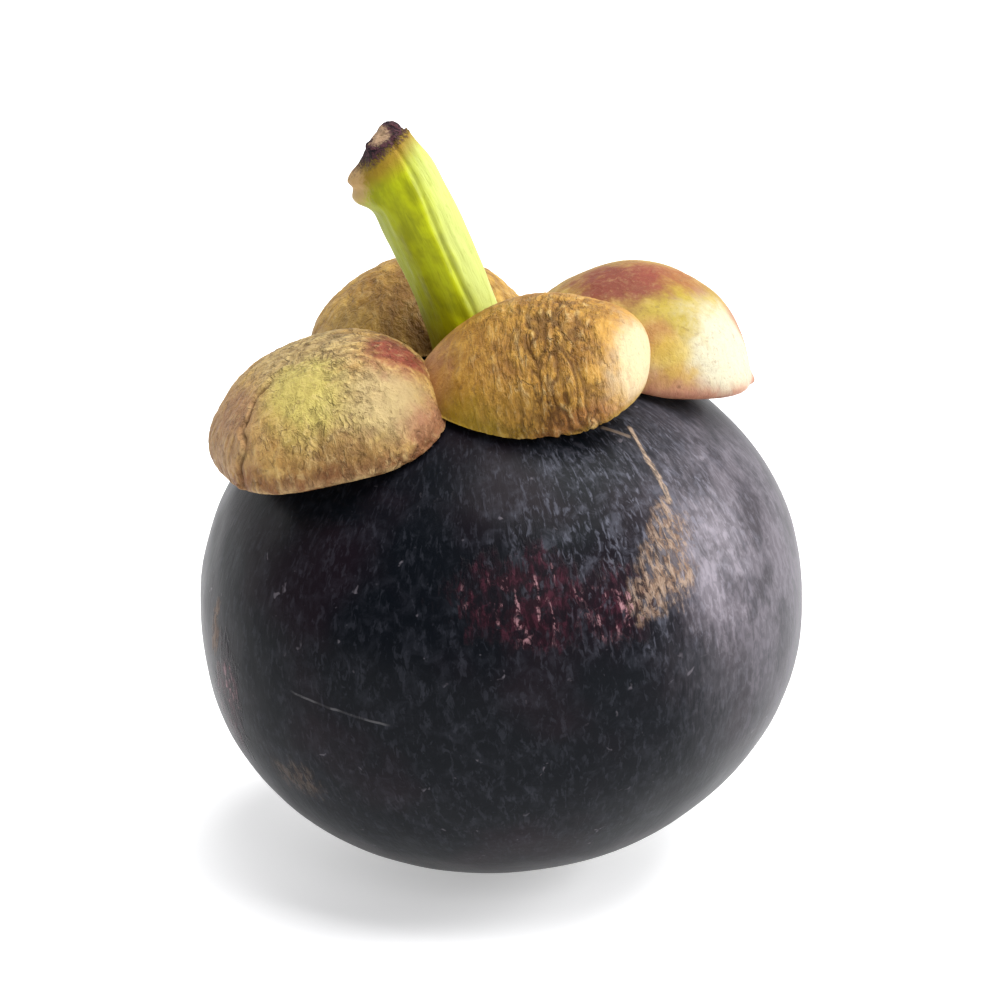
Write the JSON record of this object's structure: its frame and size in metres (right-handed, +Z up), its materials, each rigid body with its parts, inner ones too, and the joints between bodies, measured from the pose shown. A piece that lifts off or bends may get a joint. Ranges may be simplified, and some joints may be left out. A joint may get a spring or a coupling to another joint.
{
  "type": "mangosteen",
  "caption": "Whole mangosteen with a round dark rind, thick cupped calyx lobes, a ridged leaning stem and a flat dried stigma that it rests on",
  "frame": {"origin": "centre of the flat lower face of the stigma rosette, which the fruit rests on", "axes": "+Z up to the stem, +X to the right and +Y away when the shortest calyx lobe faces the viewer, -Y towards the viewer; the fruit's own axis leans 5.2 degrees from +Z towards -X"},
  "size_m": [0.062, 0.062, 0.0787],
  "materials": {
    "rind": "satin, waxy, with fine streaks",
    "calyx": "dry, wrinkled, matte",
    "stem": "ridged, matte, with a dark cut tip",
    "stigma": "dry, rough, matte"
  },
  "bodies": {
    "root": {"fruit": "rind", "stem": "stem", "sepal_left": "calyx", "sepal_front": "calyx", "sepal_right": "calyx", "sepal_back": "calyx", "stigma_rosette": "stigma"}
  },
  "joints": []
}
